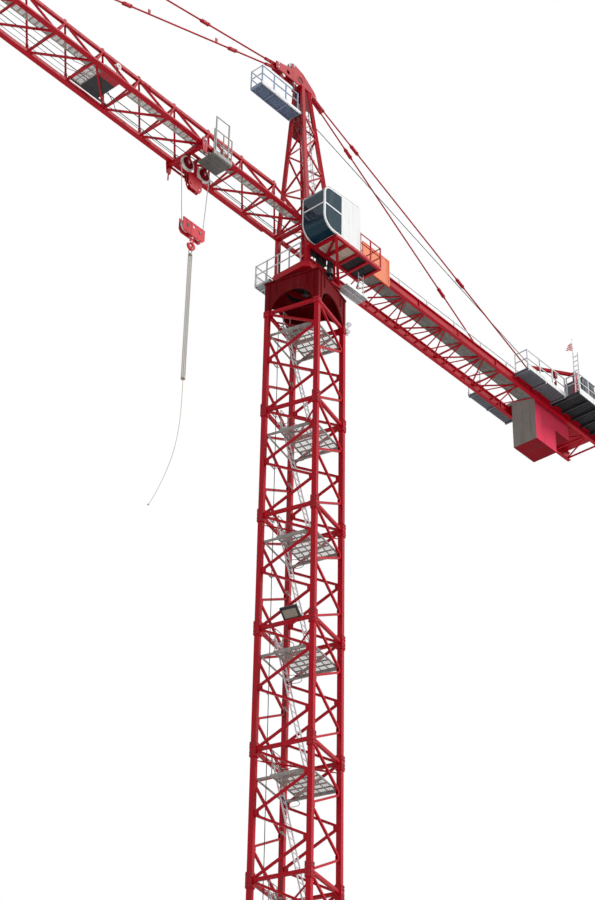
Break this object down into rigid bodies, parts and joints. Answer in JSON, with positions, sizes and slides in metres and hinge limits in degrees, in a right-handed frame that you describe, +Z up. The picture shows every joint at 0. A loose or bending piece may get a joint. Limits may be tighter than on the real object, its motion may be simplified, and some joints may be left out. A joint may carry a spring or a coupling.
{
  "type": "tower crane scale model",
  "caption": "Hammerhead tower crane at half scale: lattice tower, slewing jib and counter-jib on tie rods, cab, trolley and hook with sling chains.",
  "frame": {"origin": "on the underside of the base frame, on the axis of the tower", "axes": "+Z up along the tower, +X along the jib towards its tip, +Y to the side of the cab"},
  "size_m": [35.9, 2.213, 22.145],
  "materials": {
    "red_paint": "gloss",
    "dark_red_paint": "satin",
    "galvanised": "satin",
    "grey_steel": "satin",
    "motor_black": "satin",
    "white_panel": "gloss",
    "cab_glass": "gloss",
    "concrete": "matte",
    "orange_board": "satin",
    "white_sheave": "satin",
    "rope_steel": "satin",
    "chain_steel": "satin",
    "cord_fibre": "matte",
    "cabinet_grey": "satin"
  },
  "bodies": {
    "tower": {"base_frame": "red_paint", "tower_legs": "red_paint", "tower_side_1": "red_paint", "tower_side_2": "red_paint", "tower_side_3": "red_paint", "tower_side_4": "red_paint", "rest_platforms": "galvanised", "tower_ladders": "galvanised", "ring_support": "dark_red_paint", "fixed_race": "grey_steel"},
    "upper_works": {"turning_race": "grey_steel", "turntable": "dark_red_paint", "slewing_motors": "motor_black", "slewing_deck": "galvanised", "head_posts": "red_paint", "head_legs": "red_paint", "head_bracing": "red_paint", "head_plates": "red_paint", "head_platform": "galvanised", "jib_lower_chords": "red_paint", "jib_top_chord": "red_paint", "jib_side_near": "red_paint", "jib_side_far": "red_paint", "jib_floor_bracing": "red_paint", "jib_walkway": "galvanised", "jib_tip": "red_paint", "trolley_winch": "red_paint", "jib_ties": "red_paint", "counter_ties": "red_paint", "counter_beams": "red_paint", "counter_bracing": "red_paint", "counter_walkway": "galvanised", "counter_rails": "galvanised", "ballast_blocks": "concrete", "side_walkway": "galvanised", "rear_platform": "grey_steel", "rear_rails": "galvanised", "access_ladder": "galvanised", "service_davit": "red_paint", "hoist_frame": "grey_steel", "electric_cabinet": "cabinet_grey", "cab_platform": "red_paint", "cab_shell": "white_panel", "cab_glass": "cab_glass", "sign_board": "orange_board"},
    "drum": {"hoist_drum": "grey_steel"},
    "top_pulley": {"head_pulley": "grey_steel"},
    "trolley": {"trolley_frame": "red_paint", "trolley_wheels": "grey_steel", "trolley_basket": "galvanised", "spare_block": "red_paint", "rope_falls": "rope_steel"},
    "front_sheave": {"trolley_sheave_front": "white_sheave"},
    "rear_sheave": {"trolley_sheave_rear": "white_sheave"},
    "hook_block": {"hook_block": "red_paint"},
    "block_sheave_a": {"block_sheave_front": "grey_steel"},
    "block_sheave_b": {"block_sheave_rear": "grey_steel"},
    "hook": {"hook": "dark_red_paint", "sling_chains": "chain_steel", "tag_line": "cord_fibre"}
  },
  "joints": [
    {"name": "slewing", "type": "hinge", "parent": "tower", "child": "upper_works", "pos_m": [0, 0, 16.04], "axis": [0, 0, 1], "continuous": true},
    {"name": "trolley_travel", "type": "slide", "parent": "upper_works", "child": "trolley", "axis": [1, 0, 0], "range_m": [-1.35, 20.4]},
    {"name": "hoist", "type": "slide", "parent": "trolley", "child": "hook_block", "axis": [0, 0, 1], "range_m": [-8.2, 0.8], "deforming": ["rope_falls"]},
    {"name": "hook_swivel", "type": "hinge", "parent": "hook_block", "child": "hook", "pos_m": [3.45, 0, 15.21], "axis": [0, 0, 1], "continuous": true},
    {"name": "block_front_sheave_spin", "type": "hinge", "parent": "hook_block", "child": "block_sheave_a", "pos_m": [3.62, 0, 15.41], "axis": [0, 1, 0], "continuous": true},
    {"name": "block_rear_sheave_spin", "type": "hinge", "parent": "hook_block", "child": "block_sheave_b", "pos_m": [3.28, 0, 15.41], "axis": [0, 1, 0], "continuous": true},
    {"name": "front_sheave_spin", "type": "hinge", "parent": "trolley", "child": "front_sheave", "pos_m": [3.686, 0, 17.025], "axis": [0, 1, 0], "continuous": true},
    {"name": "rear_sheave_spin", "type": "hinge", "parent": "trolley", "child": "rear_sheave", "pos_m": [3.214, 0, 17.025], "axis": [0, 1, 0], "continuous": true},
    {"name": "drum_spin", "type": "hinge", "parent": "upper_works", "child": "drum", "pos_m": [-9.88, 0, 17.8], "axis": [0, 1, 0], "continuous": true},
    {"name": "top_pulley_spin", "type": "hinge", "parent": "upper_works", "child": "top_pulley", "pos_m": [0.62, 0, 22.03], "axis": [0, 1, 0], "continuous": true}
  ]
}
